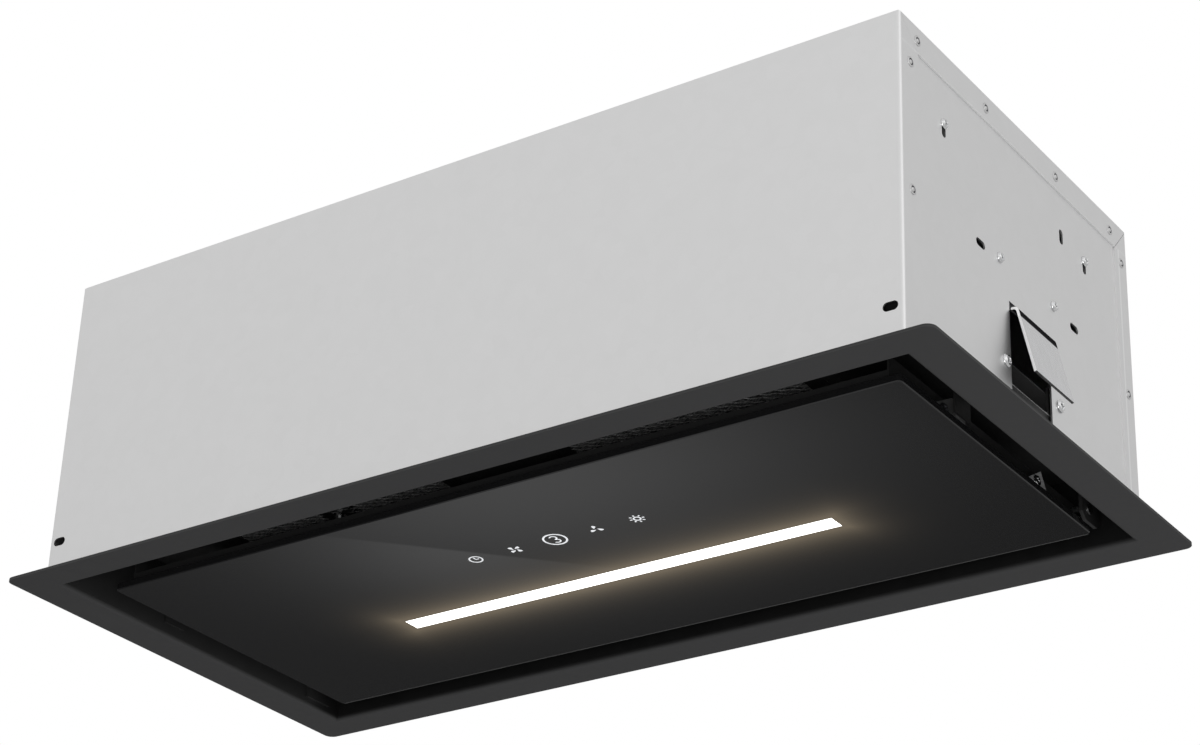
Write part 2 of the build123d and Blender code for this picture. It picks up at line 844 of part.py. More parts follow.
def make_hinge_gusset():
    """Three-cornered plate over the front of the hinge arm."""
    corners = [(hinge_y + y, hinge_z + z) for y, z in gusset_corners]
    return profile_x(corners, hinge_arm_out, hinge_arm_out + gusset_thick)


def make_hinge_pins():
    """Studs welded to the arms, which turn in the brackets' ears."""
    end_x = hinge_arm_out + ear_gap + ear_thick + pin_end
    return both_ends(rod_x(hinge_pin_r, hinge_arm_out, end_x, hinge_y, hinge_z))


def make_hinge_bracket():
    """Right-hand bracket on the collar, with the ear that the pin turns in."""
    ear_x = hinge_arm_out + ear_gap
    y0 = hinge_y - ear_front
    y1 = hinge_y + ear_back
    low = hinge_z - ear_below
    top = hinge_z + ear_above
    foot = block(open_half - ear_thick, open_half, y0, y1, low, top)
    shelf = block(ear_x, open_half, y0, y1, top - ear_thick, top)
    ear = block(ear_x, ear_x + ear_thick, y0, y1, low, top)
    ear = chamfer(ear.edges().filter_by(Axis.X).sort_by(Axis.Z)[:2], ear_corner)
    bore = rod_x(hinge_pin_r + hinge_fit, ear_x - past, ear_x + ear_thick + past, hinge_y, hinge_z)
    return foot + shelf + ear - bore


def make_catch_block():
    """Right-hand catch block with a sprung nose, on the carrier's side wall."""
    top = catch_low + catch_height
    back_y = catch_front_y + catch_length
    corners = (
        (catch_front_y, catch_low),
        (catch_front_y, top - catch_slope_z),
        (catch_front_y + catch_slope_y, top),
        (back_y, top),
        (back_y, catch_low),
    )
    face_x = carrier_half + catch_thick
    front = nose_y - nose_half
    low = nose_z - nose_half
    nose = block(face_x - sink, face_x + nose_reach, front, front + 2 * nose_half, low, low + 2 * nose_half)
    nose = chamfer(nose.faces().sort_by(Axis.X)[-1].edges(), nose_bevel)
    return profile_x(corners, carrier_half, face_x) + nose


def make_catch_striker():
    """Right-hand striker: an arm from the collar with a lip beside the nose."""
    lip_x = carrier_half + catch_thick + striker_gap
    y0 = nose_y - striker_ahead
    y1 = nose_y + striker_behind
    top = striker_shelf_z + striker_sheet
    foot = block(open_half - striker_sheet, open_half, y0, y1, striker_foot_z, top)
    shelf = block(lip_x, open_half, y0, y1, striker_shelf_z, top)
    lip = block(lip_x, lip_x + striker_sheet, y0, y1, striker_lip_z, top)
    return foot + shelf + lip


def make_panel_screws():
    """Cross-head screws of the gussets and catch blocks."""
    gusset_y = hinge_y - gusset_screw_ahead
    gusset = screw_x(hinge_arm_out + gusset_thick, gusset_y, hinge_z + gusset_screw_rise)
    catch_y = catch_front_y + catch_screw_in
    catch = screw_x(carrier_half + catch_thick, catch_y, catch_low + catch_screw_rise)
    return both_ends(sum_of((gusset, catch)))


# Blower

def volute_arc(turn, first, last, grow=0.0):
    """One arc of the scroll's spiral wall, in the (y, z) plane, between two angles in degrees.

    The spiral is three arcs that run smoothly into each other, about three corners of a small
    square round the wheel's axis. Turn 0 ends at the outlet, and each further turn is one side of
    the square tighter."""
    step = scroll_square / 2
    centre_y = step if turn < 2 else -step
    centre_z = fan_z + (step if turn < 1 else -step)
    radius = outlet_half - step - turn * scroll_square + grow
    places = []
    for angle in (first, (first + last) / 2, last):
        radians = math.radians(angle)
        places.append((centre_y + radius * math.cos(radians), centre_z + radius * math.sin(radians)))
    return ThreePointArc(*places)


def make_scroll_room():
    """The air room inside the right-hand half, open at the top."""
    tongue_arc = volute_arc(2, tongue_angle, 180)
    outlet_arc = volute_arc(0, 270, 360)
    mouth_z = top_in + past
    mouth = Polyline(outlet_arc @ 1, (outlet_half, mouth_z), (-outlet_half, mouth_z), tongue_arc @ 0)
    return drawn_x([tongue_arc, volute_arc(1, 180, 270), outlet_arc, mouth], -past, scroll_inner_half)


def make_scroll_half():
    """Right-hand half of the scroll, with its round inlet and the rim of its outlet."""
    low_arc = volute_arc(1, 180, 270, scroll_wall)
    outlet_arc = volute_arc(0, 270, 360, scroll_wall)
    tongue = (-scroll_side, fan_z + tongue_rise)
    mouth = Polyline(outlet_arc @ 1, (scroll_side, top_in), (-scroll_side, top_in), tongue, low_arc @ 0)
    half_shell = drawn_x([low_arc, outlet_arc, mouth], 0, scroll_out)
    rim_y = scroll_side + scroll_rim
    half_shell += block(0, scroll_out + scroll_rim, -rim_y, rim_y, top_in - scroll_rim_thick, top_in)
    half_shell -= make_scroll_room()
    return half_shell - rod_x(inlet_r, scroll_inner_half - past, scroll_out + past, 0, fan_z)


def make_scroll_screws():
    """Screws through the casing's top into the scroll's rim."""
    upright = Rot(0, -90, 0) * screw_x(0, 0, 0)
    ends = (-scroll_screw_at, scroll_screw_at)
    places = [(x, y) for x in ends for y in ends]
    return sum_of(Pos(x, y, casing_top) * upright for x, y in places)


def fan_point(radius, angle):
    """A point of the wheel's side view, in the (y, z) plane about the axis."""
    turn = math.radians(angle)
    return radius * math.cos(turn), radius * math.sin(turn)


def make_blade():
    """One forward-curved blade, drawn out over the wheel's whole width."""
    middle_r = (fan_r + fan_inner_r) / 2
    middle = blade_lead / 2 - blade_bow
    lag = blade_angle_thick
    front = ThreePointArc(
        fan_point(fan_inner_r, 0), fan_point(middle_r, middle), fan_point(fan_r, blade_lead)
    )
    back = ThreePointArc(
        fan_point(fan_inner_r, -lag), fan_point(middle_r, middle - lag), fan_point(fan_r, blade_lead - lag)
    )
    outline = [front, Line(front @ 1, back @ 1), back, Line(back @ 0, front @ 0)]
    return drawn_x(outline, -fan_half, fan_half)


def make_impeller():
    """Double-inlet wheel: a middle disc, two end rings and a row of blades."""
    blade = make_blade()
    disc = rod_x(fan_inner_r + fan_disc_over, -fan_disc / 2, fan_disc / 2, 0, 0)
    hub = rod_x(hub_r, -hub_length, 0, 0, 0)
    end_ring = rod_x(fan_r + fan_ring_over, fan_half - fan_ring, fan_half, 0, 0)
    end_ring -= rod_x(fan_inner_r - fan_ring_over, fan_half - fan_ring - past, fan_half + past, 0, 0)
    blades = [Rot(i * 360 / blade_count, 0, 0) * blade for i in range(blade_count)]
    wheel = disc + hub
    wheel = wheel + blades + [end_ring, flip(end_ring)]
    return fan_line * (wheel - rod_x(shaft_r, -hub_length - past, fan_disc + past, 0, 0))


def make_motor():
    """Motor inside the right-hand half of the wheel, with a neck for the spider."""
    can = rod_x(motor_r, motor_start, motor_end, 0, 0)
    can += rod_x(motor_neck_r, motor_end - sink, spider_x, 0, 0)
    bore = rod_x(shaft_r + shaft_fit, motor_start - past, spider_x - shaft_depth_gap, 0, 0)
    return fan_line * (can - bore)


def make_motor_shaft():
    """Shaft from the wheel's hub into the motor."""
    end_x = spider_x - shaft_depth_gap - shaft_end_gap
    return fan_line * rod_x(shaft_r, -hub_length - shaft_over, end_x, 0, 0)


def make_motor_mounts():
    """Three rubber buffers between the scroll's side and the spider."""
    plane = Plane(origin=(scroll_out, mount_circle_r, 0), x_dir=(0, 1, 0), z_dir=(1, 0, 0))
    buffer = extrude(plane * RegularPolygon(mount_r, head_sides), amount=mount_height)
    return sum_of(fan_line * Rot(angle, 0, 0) * buffer for angle in mount_angles)


def make_motor_spider():
    """Three-armed plate that carries the motor on its buffers."""
    end_x = spider_x + spider_sheet
    spider = rod_x(motor_neck_r + spider_hub, spider_x, end_x, 0, 0)
    reach = mount_circle_r + spider_arm / 2
    arm = block(spider_x, end_x, 0, reach, -spider_arm / 2, spider_arm / 2)
    for angle in mount_angles:
        spider += Rot(angle, 0, 0) * arm
    return fan_line * spider


# Outlet

def make_outlet_collar():
    """Round collar for the duct on an eight-sided foot, with two rests for the closed flaps."""
    top = casing_top + outlet_height
    foot = RegularPolygon(outlet_base_r, 8, major_radius=False, rotation=180 / 8)
    collar = Pos(0, 0, casing_top) * extrude(foot, amount=outlet_base_thick)
    collar += rod_z(outlet_r, casing_top, top, 0, 0)
    collar -= rod_z(outlet_bore_r, casing_top - past, top + past, 0, 0)
    rest_in = outlet_bore_r - stop_reach
    rest = block(-stop_width / 2, stop_width / 2, rest_in, outlet_bore_r + sink, casing_top, stop_z)
    return collar + rest + mirror(rest, about=Plane.XZ)


def make_damper_flap():
    """Back half-round flap with a knuckle round the spindle."""
    radius = outlet_bore_r - flap_gap
    z0 = flap_z - flap_thick / 2
    z1 = flap_z + flap_thick / 2
    x0 = flap_knuckle_x
    x1 = flap_knuckle_x + flap_knuckle
    disc = rod_z(radius, z0, z1, 0, 0)
    flap = disc & block(-radius, radius, flap_start_y, radius + past, z0 - past, z1 + past)
    flap += block(x0, x1, 0, flap_start_y + sink, z0, z1)
    flap += rod_x(flap_barrel_r, x0, x1, 0, flap_z)
    return flap - rod_x(spindle_r + spindle_fit, x0 - past, x1 + past, 0, flap_z)


def make_damper_spindle():
    """Thin rod across the outlet, held between the walls of its bore."""
    reach = math.sqrt(outlet_bore_r ** 2 - spindle_r ** 2)
    return rod_x(spindle_r, -reach, reach, 0, flap_z)


def make_cable_gland():
    """Six-sided gland for the mains cable, on the casing's top."""
    body = Pos(gland_x, gland_y, casing_top) * extrude(RegularPolygon(gland_r, 6), amount=gland_height)
    return body - rod_z(gland_bore_r, casing_top - past, casing_top + gland_height + past, gland_x, gland_y)


# Controls

def make_control_bracket():
    """Hat-shaped bracket screwed to the inside of the right-hand end plate."""
    y0 = bracket_screw_y[0] + bracket_ear / 2
    y1 = bracket_screw_y[1] - bracket_ear / 2
    z0 = bracket_low_z
    z1 = bracket_high_z
    bracket = block(bracket_web_x, bracket_web_x + sheet, y0, y1, z0, z1)
    bracket += block(bracket_web_x, plate_in, y0 - sheet, y0, z0, z1)
    bracket += block(bracket_web_x, plate_in, y1, y1 + sheet, z0, z1)
    bracket += block(plate_in - sheet, plate_in, y0 - bracket_ear, y0, z0, z1)
    bracket += block(plate_in - sheet, plate_in, y1, y1 + bracket_ear, z0, z1)
    for y, z in zip(bracket_screw_y, bracket_screw_z):
        bracket -= make_keyhole(y, z)
    return bracket


def make_bracket_screws():
    """Screws above the keyhole slots of the end plates."""
    places = zip(bracket_screw_y, bracket_screw_z)
    return both_ends(sum_of(screw_x(plate_out, y, z) for y, z in places))


def make_control_box():
    """Open moulded box on the bracket's inner side."""
    x0 = bracket_web_x - box_reach
    box = block(x0, bracket_web_x, box_front_y, box_back_y, box_low_z, box_high_z)
    box = chamfer(box.edges().filter_by(Axis.X), box_corner)
    x1 = bracket_web_x - box_wall
    y0 = box_front_y + box_wall
    y1 = box_back_y - box_wall
    return box - block(x0 - past, x1, y0, y1, box_low_z + box_wall, box_high_z - box_wall)


def make_control_lid():
    """Flat lid over the control box's mouth."""
    x1 = bracket_web_x - box_reach
    lid = block(x1 - lid_thick, x1, box_front_y, box_back_y, box_low_z, box_high_z)
    return chamfer(lid.edges().filter_by(Axis.X), box_corner)


def make_control_board():
    """Board inside the control box with its relays and a row of plugs."""
    inset = box_wall + control_board_gap
    x0 = bracket_web_x - box_wall - control_board_stand - board_thick
    y0 = box_front_y + inset
    y1 = box_back_y - inset
    z0 = box_low_z + inset
    z1 = box_high_z - inset
    board = block(x0, x0 + board_thick, y0, y1, z0, z1)
    relay_low = z0 + relay_edge
    relay_step = (y1 - y0 - 2 * relay_end - relay_length) / (relay_count - 1)
    for i in range(relay_count):
        y = y0 + relay_end + i * relay_step
        board += block(x0 - relay_height, x0, y, y + relay_length, relay_low, relay_low + relay_width)
    plug_top = z1 - plug_row_edge
    plug_low = plug_top - plug_row_width
    return board + block(x0 - plug_row_height, x0, y0 + plug_row_end, y1 - plug_row_end, plug_low, plug_top)


def make_driver_bracket():
    """The same bracket on the left-hand end."""
    return flip(make_control_bracket())


def make_light_driver():
    """Closed moulded driver box on the left-hand bracket."""
    x0 = -bracket_web_x
    box = block(x0, x0 + driver_reach, driver_front_y, driver_back_y, driver_low_z, driver_high_z)
    return chamfer(box.edges().filter_by(Axis.X), driver_edge)


def build_all():
    """Every sub-part by its node name."""
    end_plate = make_end_plate()
    clip_base = make_clip_base()
    clip_leaf = make_clip_leaf()
    filter_frame = make_filter_frame()
    filter_mesh = make_filter_mesh()
    filter_latch = make_filter_latch()
    hinge_arm = make_hinge_arm()
    hinge_gusset = make_hinge_gusset()
    hinge_bracket = make_hinge_bracket()
    catch_block = make_catch_block()
    catch_striker = make_catch_striker()
    scroll = make_scroll_half()
    flap = make_damper_flap()
    return {
        "casing_wrap": make_casing_wrap(),
        "end_plate_left": flip(end_plate),
        "end_plate_right": end_plate,
        "casing_rivets": make_casing_rivets(),
        "flange_frame": make_flange_frame(),
        "frame_screws": make_frame_screws(),
        "clip_base_left": flip(clip_base),
        "clip_base_right": clip_base,
        "clip_leaf_left": flip(clip_leaf),
        "clip_leaf_right": clip_leaf,
        "clip_screws": make_clip_screws(),
        "filter_tray": make_filter_tray(),
        "filter_frame_left": filter_frame,
        "filter_frame_right": turned(filter_frame),
        "filter_mesh_left": filter_mesh,
        "filter_mesh_right": turned(filter_mesh),
        "filter_latch_left": filter_latch,
        "filter_latch_right": turned(filter_latch),
        "glass_panel": make_glass_panel(),
        "panel_carrier": make_panel_carrier(),
        "light_diffuser": make_light_diffuser(),
        "light_housing": make_light_housing(),
        "light_board": make_light_board(),
        "touch_board": make_touch_board(),
        "hinge_arm_left": flip(hinge_arm),
        "hinge_arm_right": hinge_arm,
        "hinge_gusset_left": flip(hinge_gusset),
        "hinge_gusset_right": hinge_gusset,
        "hinge_pins": make_hinge_pins(),
        "hinge_bracket_left": flip(hinge_bracket),
        "hinge_bracket_right": hinge_bracket,
        "catch_block_left": flip(catch_block),
        "catch_block_right": catch_block,
        "catch_striker_left": flip(catch_striker),
        "catch_striker_right": catch_striker,
        "panel_screws": make_panel_screws(),
        "scroll_left": flip(scroll),
        "scroll_right": scroll,
        "scroll_screws": make_scroll_screws(),
        "impeller": make_impeller(),
        "motor": make_motor(),
        "motor_shaft": make_motor_shaft(),
        "motor_mounts": make_motor_mounts(),
        "motor_spider": make_motor_spider(),
        "outlet_collar": make_outlet_collar(),
        "damper_flap_back": flap,
        "damper_flap_front": Rot(0, 0, 180) * flap,
        "damper_spindle": make_damper_spindle(),
        "cable_gland": make_cable_gland(),
        "control_bracket": make_control_bracket(),
        "driver_bracket": make_driver_bracket(),
        "bracket_screws": make_bracket_screws(),
        "control_box": make_control_box(),
        "control_lid": make_control_lid(),
        "control_board": make_control_board(),
        "light_driver": make_light_driver(),
    }


os.makedirs("parts", exist_ok=True)
for node, shape in build_all().items():
    export_step(shape, f"parts/{node}.step")
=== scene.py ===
import json
import math

import bmesh
import bpy
from mathutils import Matrix, Vector


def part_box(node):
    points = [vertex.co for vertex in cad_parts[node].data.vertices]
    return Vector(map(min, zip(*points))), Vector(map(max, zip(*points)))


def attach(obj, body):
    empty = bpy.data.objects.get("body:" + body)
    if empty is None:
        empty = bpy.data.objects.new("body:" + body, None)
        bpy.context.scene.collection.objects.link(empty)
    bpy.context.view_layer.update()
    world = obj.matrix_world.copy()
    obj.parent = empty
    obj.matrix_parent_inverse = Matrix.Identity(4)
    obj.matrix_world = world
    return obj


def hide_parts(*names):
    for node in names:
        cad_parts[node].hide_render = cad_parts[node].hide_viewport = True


# Looks of the built-in range hood. Lengths are in metres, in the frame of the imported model:
# the origin is the centre of the flange's underside, +X right, +Y back, +Z up.
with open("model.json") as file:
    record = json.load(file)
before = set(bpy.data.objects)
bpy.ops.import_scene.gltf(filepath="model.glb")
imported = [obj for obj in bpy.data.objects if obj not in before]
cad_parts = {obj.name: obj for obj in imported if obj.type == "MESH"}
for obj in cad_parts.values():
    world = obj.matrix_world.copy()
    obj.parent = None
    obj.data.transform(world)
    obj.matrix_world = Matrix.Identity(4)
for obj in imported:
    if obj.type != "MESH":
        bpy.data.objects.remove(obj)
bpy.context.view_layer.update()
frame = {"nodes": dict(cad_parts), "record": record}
nodes = frame["nodes"]

# Camera, solved from the photograph's straight edges: roll in degrees, lens in millimetres
camera_place = (0.8579, -1.1916, -0.6420)
camera_aim = (0.13915, -0.18483, 0.0)
camera_roll = 2.198
camera_lens = 86.773
camera_start = 0.05

# Stage
floor_z = -3.5
floor_size = 5.0

# Soft box in front of the hood and below it, its power in watts
fill_place = (0.9, -1.3, -0.75)
fill_aim = (0.05, 0, 0.02)
fill_size = 0.5
fill_power = 6

# Brightness of the studio as each side of the hood mirrors it. A value with _x, _y or _z gives the
# part of a direction of length 1 where the brightness starts to change and where it ends.
sky_below = 0.106
sky_front = 1.02
sky_back = 0.70
sky_depth_y = (-0.7, 0.7)
sky_turn_z = (-0.35, 0.35)
right_glow = 0.55
right_glow_x = (0.54, 0.80)

# Soft lights below the hood, laid out where the glass mirrors them: middle and reach along X and Y.
# The wedge of light ends at a straight edge, given by its normal and its distance from the origin.
front_glow = 0.50
front_glow_x = (0.044, 0.165)
front_glow_y = (-0.112, 0.120)
wedge_glow = 0.22
wedge_glow_x = (-0.050, 0.070)
wedge_glow_y = (-0.045, 0.060)
wedge_normal = (0.7144, -0.6997)
wedge_distance = 0.0003
wedge_soft = 0.0012
side_glow = 0.65
side_glow_x = (0.32, 0.35)
flattest_view = 0.001

# Screw and rivet heads, in shares of a head's radius and height. A pair holds the distances from
# the middle where a slope starts and ends. The heads of a node are counted along a slanting line,
# and each is turned further than the last, in radians.
head_rings = 12
head_spokes = 32
count_along = (1.0, 0.37, 0.17)
screw_size = 0.88
first_turn = 0.35
next_turn = 1.9
pan_crown = 0.25
pan_rim = (0.72, 1.0)
pan_rim_drop = 0.55
recess_width = (0.07, 0.18)
recess_reach = (0.44, 0.62)
recess_depth = 0.55
rivet_height = 0.4
rivet_rim = (0.80, 1.0)
rivet_rim_drop = 0.15
rivet_hole = (0.56, 0.64)
rivet_hole_depth = 0.3
rivet_pin = (0.32, 0.40)
rivet_pin_height = 0.5

# Corners of a CAD mesh nearer than this are one
same_place = 1e-6

# Expanded mesh of the filters
mesh_cell_x = 0.0090
mesh_cell_y = 0.0045
mesh_strand = 0.0007
mesh_rail = 0.0100
mesh_end = 0.006
mesh_drop = 0.0004

# Touch symbols, set from the middle of the light bar
symbol_pitch = 0.0269
symbol_ahead = 0.0573
symbol_thick = 0.00012
symbol_proud = 0.00004
symbol_line = 0.0009
ring_r = 0.0071
ring_line = 0.0011
clock_r = 0.0042
hand_line = 0.8 * symbol_line
minute_hand = 0.6 * clock_r
hour_hand = 0.5 * clock_r
lamp_r = 0.0024
ray_start = 0.0030
ray_end = 0.0045
ray_count = 8
circle_steps = 40
arc_steps = 24

# The ringed 3: the radius of its bowls, and for each its side of the middle and its first and last angle
bowl_r = 0.28 * ring_r
bowls = ((-1, -150, 90), (1, -90, 150))

# Blades of the fan symbols, in shares of a blade's length and in degrees; the fan with four is turned
fan_r = 0.0044
fan_turn = 20
blade_steps = 12
blade_root = 0.16
blade_sweep = 30
blade_width = 42
blade_least = 2
blade_fullness = 0.8

# Glass: a painted highlight along its back edge and a fainter painted highlight along its side edges,
# both on its polished underside
back_glint_width = 0.0015
side_edge = 0.0008
side_share = 0.12
edge_soft = 0.25
mirror_depth = (0.00002, 0.00006)

# Painted glow of the light bar on the glass
glow_colour = (1.0, 0.80, 0.54)
glow_strength = 0.13
glow_reach = 0.0108

# Height over which painted shade darkens the flange's coat inside, and where towards the back the
# painted shade is darkest
coat_height = 0.0014
dim_back_y = (0.095, 0.110)

# Painted highlight along the edge of the collar's notch, seen through the clip's window, on the collar's
# outer side
notch_height = 0.0319
notch_highlight_width = 0.0005
collar_side = (0.27535, 0.27539)

# Painted light at the cut edges of the casing's folds, where they stand proud of the end plates: a
# painted highlight band at the front and back folds, and at the top one a dull, non-metallic line that
# lightens the shade there
fold_edge = 0.1741
front_fold_edge = -0.1107
back_fold_edge = 0.1137
fold_side = (0.27755, 0.27760)
highlight_band = (0.0003, 0.0011)
dull_line = (0.0001, 0.0003)

# Spring clips: the heights where painted shade darkens them towards their root, and the width of the
# painted highlight along their edges
root_shade_height = (0.0671, 0.0677)
leaf_edge = 0.00004


def aim(obj, target, roll=0.0):
    """Turns a camera or light towards a point."""
    look = Vector(target) - obj.location
    turn = look.to_track_quat("-Z", "Y").to_matrix()
    turn = turn @ Matrix.Rotation(math.radians(roll), 3, "Z")
    obj.rotation_euler = turn.to_euler()


def make_camera():
    """The camera at the photograph's viewing angle."""
    data = bpy.data.cameras.new("camera")
    data.lens = camera_lens
    data.clip_start = camera_start
    camera = bpy.data.objects.new("camera", data)
    bpy.context.scene.collection.objects.link(camera)
    camera.location = camera_place
    aim(camera, camera_aim, camera_roll)
    bpy.context.scene.camera = camera


# Material helpers

def new_material(name, colour, roughness, metallic=0.0):
    """A node material with its main shader's constants set."""
    material = bpy.data.materials.new(name)
    material.use_nodes = True
    shader = material.node_tree.nodes["Principled BSDF"]
    shader.inputs["Base Color"].default_value = (*colour, 1)
    shader.inputs["Roughness"].default_value = roughness
    shader.inputs["Metallic"].default_value = metallic
    return material, shader


def maths(tree, operation, first, second=0.0):
    """One math node; each of its inputs is a socket or a number."""
    node = tree.nodes.new("ShaderNodeMath")
    node.operation = operation
    for socket, value in zip(node.inputs, (first, second)):
        if isinstance(value, (int, float)):
            socket.default_value = value
        else:
            tree.links.new(value, socket)
    return node.outputs[0]


def plus(tree, first, second):
    """The sum of two values."""
    return maths(tree, "ADD", first, second)


def minus(tree, first, second):
    """The first value less the second."""
    return maths(tree, "SUBTRACT", first, second)


def times(tree, first, second):
    """The product of two values."""
    return maths(tree, "MULTIPLY", first, second)


def size_of(tree, value):
    """A value without its sign."""
    return maths(tree, "ABSOLUTE", value)


def outside(tree, value, low, high):
    """How far a coordinate lies outside a range."""
    below = minus(tree, low, value)
    above = minus(tree, value, high)
    return maths(tree, "MAXIMUM", maths(tree, "MAXIMUM", below, above), 0.0)


def spread(tree, value, low, high, start=0.3, end=0.7):
    """Maps a value from start to end onto low to high; the default ends suit cloudy values."""
    node = tree.nodes.new("ShaderNodeMapRange")
    ends = {"From Min": start, "From Max": end, "To Min": low, "To Max": high}
    for socket, number in ends.items():
        node.inputs[socket].default_value = number
    tree.links.new(value, node.inputs["Value"])
    return node.outputs["Result"]


def tint(tree, value, first, second):
    """Mixes two colours by a value from 0 to 1; each colour is a socket or three numbers."""
    node = tree.nodes.new("ShaderNodeMix")
    node.data_type = "RGBA"
    for socket, colour in ((node.inputs[6], first), (node.inputs[7], second)):
        if isinstance(colour, tuple):
            socket.default_value = (*colour, 1)
        else:
            tree.links.new(colour, socket)
    tree.links.new(value, node.inputs["Factor"])
    return node.outputs[2]


def place_vector(tree, stretch=(1, 1, 1)):
    """Place on the object in metres, stretched for a grain."""
    place = tree.nodes.new("ShaderNodeTexCoord")
    scale = tree.nodes.new("ShaderNodeMapping")
    scale.inputs["Scale"].default_value = stretch
    tree.links.new(place.outputs["Object"], scale.inputs["Vector"])
    return scale.outputs["Vector"]


def place_parts(tree):
    """X, Y and Z of the place on the object."""
    split = tree.nodes.new("ShaderNodeSeparateXYZ")
    tree.links.new(place_vector(tree), split.inputs[0])
    return split.outputs["X"], split.outputs["Y"], split.outputs["Z"]


def noise(tree, scale, detail=3.0, stretch=(1, 1, 1)):
    """Cloudy values round 0.5."""
    node = tree.nodes.new("ShaderNodeTexNoise")
    node.inputs["Scale"].default_value = scale
    node.inputs["Detail"].default_value = detail
    tree.links.new(place_vector(tree, stretch), node.inputs["Vector"])
    return node.outputs["Fac"]


def bump(tree, shader, height, depth):
    """Fine relief, its depth in metres."""
    node = tree.nodes.new("ShaderNodeBump")
    node.inputs["Distance"].default_value = depth
    tree.links.new(height, node.inputs["Height"])
    tree.links.new(node.outputs["Normal"], shader.inputs["Normal"])


def vary(tree, shader, roughness, dark, light, scale):
    """Uneven roughness and colour from one cloudy texture."""
    clouds = noise(tree, scale)
    tree.links.new(spread(tree, clouds, *roughness), shader.inputs["Roughness"])
    tree.links.new(tint(tree, spread(tree, clouds, 0, 1), dark, light), shader.inputs["Base Color"])


# Materials

def make_galvanised():
    """Smooth zinc-coated sheet with faint crystals, and painted light at the folds' cut edges: a
    highlight and a lightened line.
    """
    material, shader = new_material("galvanised", (0.80, 0.80, 0.80), 0.4, 1.0)
    tree = material.node_tree
    crystals = tree.nodes.new("ShaderNodeTexVoronoi")
    crystals.inputs["Scale"].default_value = 150
    tree.links.new(place_vector(tree), crystals.inputs["Vector"])
    shade = spread(tree, crystals.outputs["Color"], 0, 1, 0, 1)
    zinc = tint(tree, shade, (0.790, 0.790, 0.790), (0.802, 0.802, 0.803))
    tree.links.new(spread(tree, noise(tree, 60), 0.40, 0.43), shader.inputs["Roughness"])
    x, y, z = place_parts(tree)
    # Painted highlight: a bright band along the front and back folds' cut edges, where they stand proud
    from_front = size_of(tree, minus(tree, y, front_fold_edge))
    from_back = size_of(tree, minus(tree, y, back_fold_edge))
    beside = spread(tree, maths(tree, "MINIMUM", from_front, from_back), 1, 0, *highlight_band)
    proud = spread(tree, size_of(tree, x), 0, 1, *fold_side)
    lower = spread(tree, z, 1, 0, fold_edge - dull_line[1], fold_edge)
    painted_highlight = times(tree, times(tree, beside, proud), lower)
    tree.links.new(tint(tree, painted_highlight, zinc, (0.92, 0.92, 0.92)), shader.inputs["Base Color"])
    # Painted light: a non-metallic line along the top fold's cut edge, which lightens the shade there
    from_top = size_of(tree, minus(tree, z, fold_edge))
    dull = times(tree, spread(tree, from_top, 1, 0, *dull_line), proud)
    tree.links.new(minus(tree, 1.0, dull), shader.inputs["Metallic"])
    bump(tree, shader, noise(tree, 700), 0.000002)
    return material


def make_zinc():
    """Bright zinc plate on screws and small parts."""
    material, shader = new_material("zinc", (0.84, 0.85, 0.86), 0.2, 1.0)
    tree = material.node_tree
    vary(tree, shader, (0.14, 0.26), (0.66, 0.67, 0.69), (0.86, 0.86, 0.85), 900)
    bump(tree, shader, noise(tree, 2500), 0.00001)
    return material


def make_grey_zinc():
    """Dull grey plate that spreads the light."""
    material, shader = new_material("grey_zinc", (0.55, 0.55, 0.56), 0.5, 0.1)
    tree = material.node_tree
    vary(tree, shader, (0.42, 0.56), (0.50, 0.50, 0.51), (0.62, 0.62, 0.62), 400)
    bump(tree, shader, noise(tree, 1500), 0.00001)
    return material


def make_rivet_steel():
    """Blind rivets, dull and a little scratched by the tool."""
    material, shader = new_material("rivet_steel", (0.76, 0.76, 0.76), 0.4, 1.0)
    tree = material.node_tree
    vary(tree, shader, (0.36, 0.44), (0.60, 0.60, 0.60), (0.70, 0.70, 0.70), 1500)
    bump(tree, shader, noise(tree, 4000), 0.00001)
    return material


def make_spring_steel():
    """Rolled strip with its grain along the leaf, dark with painted shade near its root, and with a
    painted highlight along its cut edges.
    """
    material, shader = new_material("spring_steel", (0.82, 0.82, 0.83), 0.3, 1.0)
    shader.inputs["Specular IOR Level"].default_value = 0.0
    tree = material.node_tree
    grain = noise(tree, 400, 4, (1, 1, 0.04))
    tree.links.new(spread(tree, grain, 0.22, 0.26), shader.inputs["Roughness"])
    bright = tint(tree, spread(tree, grain, 0, 1), (0.80, 0.80, 0.81), (0.85, 0.85, 0.86))
    y, z = place_parts(tree)[1:]
    # Painted shade: the clip turns dark and non-metallic towards its root
    root_shade = spread(tree, z, 0, 1, *root_shade_height)
    leaf = tint(tree, root_shade, bright, (0.015, 0.015, 0.016))
    tree.links.new(minus(tree, 1.0, root_shade), shader.inputs["Metallic"])
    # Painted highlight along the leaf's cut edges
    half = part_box("clip_leaf_right")[1].y - leaf_edge
    edge_highlight = spread(tree, outside(tree, y, -half, half), 0, 1, 0, leaf_edge / 2)
    tree.links.new(tint(tree, edge_highlight, leaf, (0.94, 0.94, 0.94)), shader.inputs["Base Color"])
    return material


def make_painted_shade_steel():
    """Painted shade: dark steel for the clips' feet, which lie in shade, and for the recesses of screws
    and rivets.
    """
    material, shader = new_material("painted_shade_steel", (0.05, 0.05, 0.055), 0.4, 0.6)
    tree = material.node_tree
    vary(tree, shader, (0.34, 0.46), (0.040, 0.040, 0.045), (0.060, 0.060, 0.066), 300)
    bump(tree, shader, noise(tree, 1200, 2), 0.000004)
    return material


